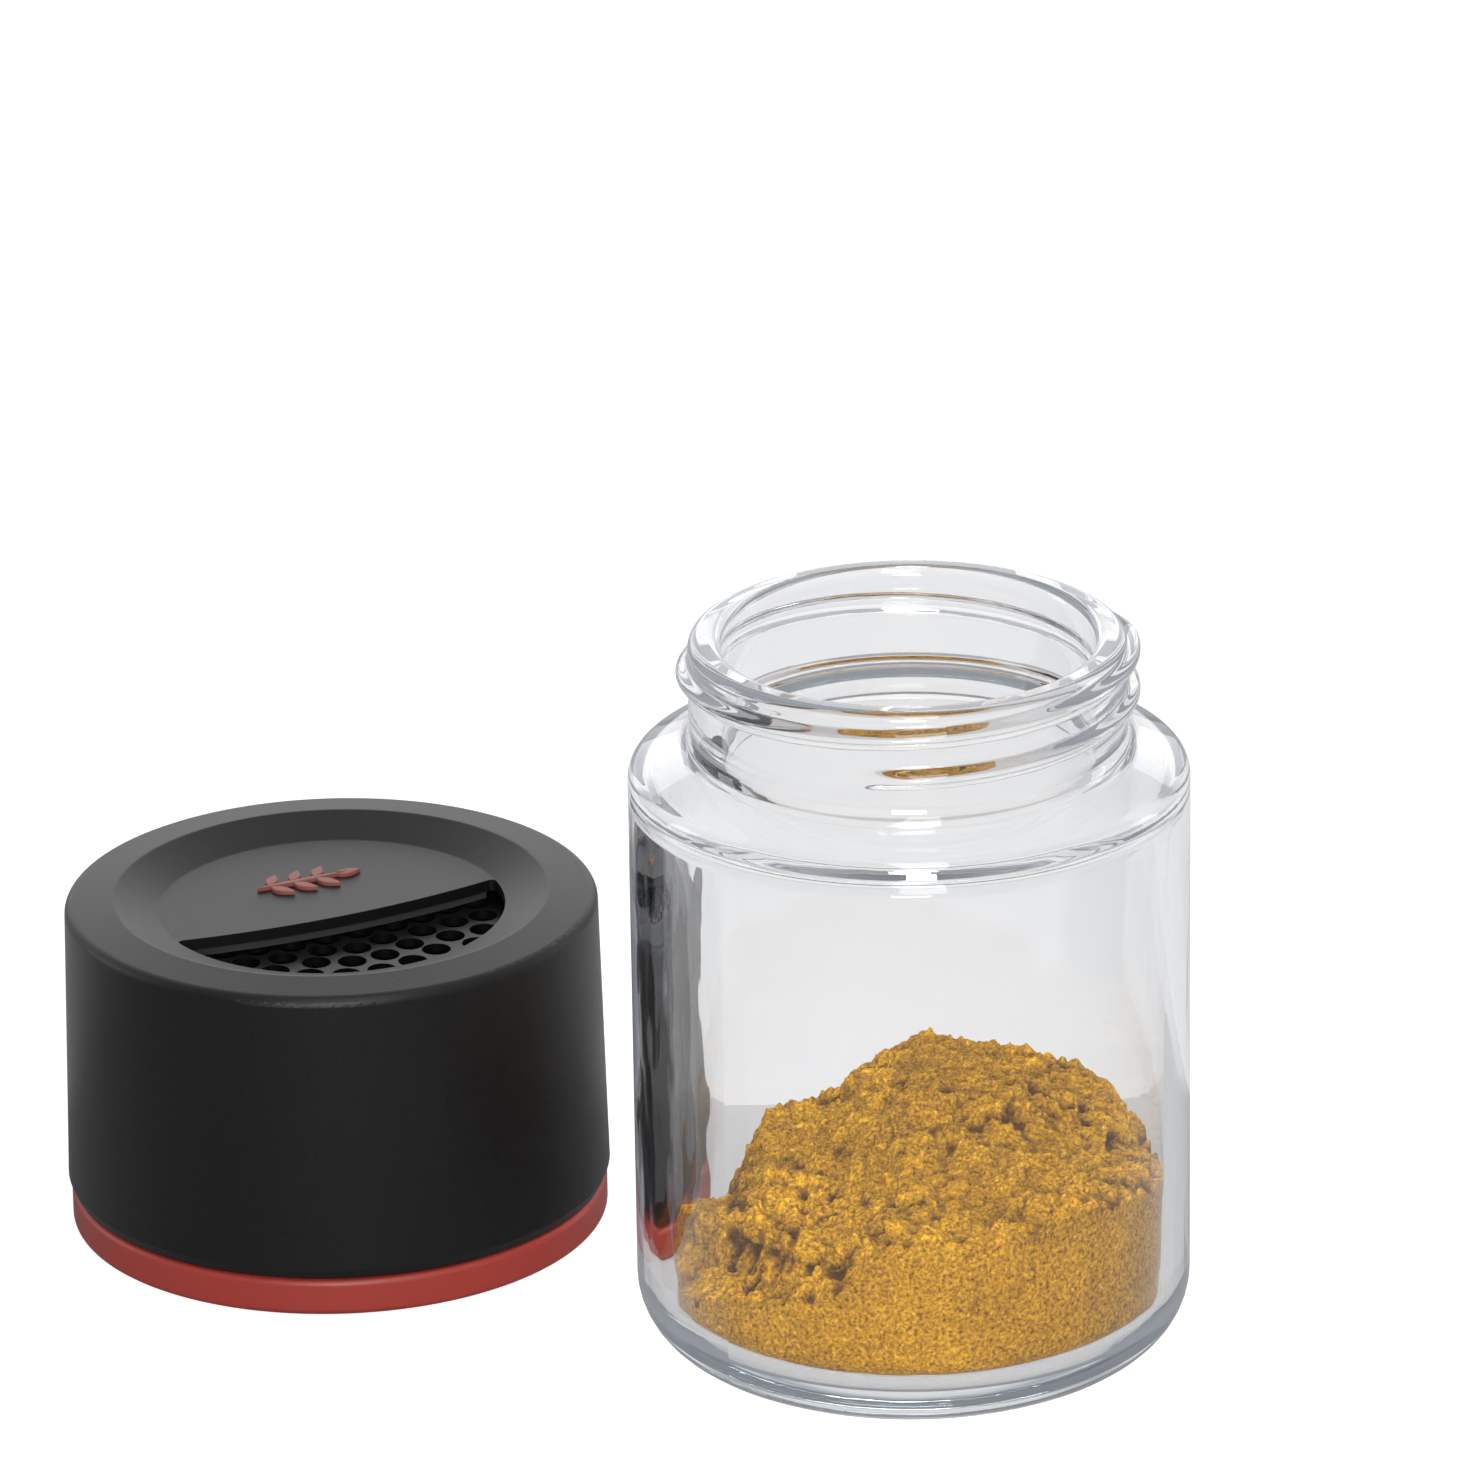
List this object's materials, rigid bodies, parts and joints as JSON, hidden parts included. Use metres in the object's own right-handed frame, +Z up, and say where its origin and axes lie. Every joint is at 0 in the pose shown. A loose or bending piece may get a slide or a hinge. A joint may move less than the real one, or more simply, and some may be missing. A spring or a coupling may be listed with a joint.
{
  "type": "spice jar",
  "caption": "Clear glass spice jar holding ground spice, with its screw-on shaker cap standing beside it: a perforated sieve under a dished cap whose half-moon window turns open and shut.",
  "frame": {"origin": "middle of the jar's flat foot, on the table", "axes": "+Z up along the jar's axis; the cap stands beside the jar, to its left and a little behind; -Y is the front"},
  "size_m": [0.1347, 0.1011, 0.0871],
  "materials": {
    "clear_glass": "clear, smooth",
    "ground_spice": "loose fine powder",
    "black_plastic": "satin, fine grain",
    "sieve_plastic": "satin",
    "seal_rubber": "matte",
    "terracotta_ring": "smooth, soft"
  },
  "bodies": {
    "jar": {"glass_jar": "clear_glass", "spice_powder": "ground_spice"},
    "inner_cap": {"screw_cap": "black_plastic", "rim_gasket": "seal_rubber", "sieve_plate": "sieve_plastic", "colour_ring": "terracotta_ring"},
    "outer_cap": {"turning_cap": "black_plastic", "closing_seal": "seal_rubber"}
  },
  "joints": [
    {"name": "cap_lift", "type": "slide", "parent": "jar", "child": "inner_cap", "axis": [0, 0, 1], "range_m": [0, 0.11]},
    {"name": "cap_turn", "type": "hinge", "parent": "inner_cap", "child": "outer_cap", "pos_m": [-0.0694, 0.0358, 0.02], "axis": [0, 0, 1], "range_deg": [0, 180]}
  ]
}
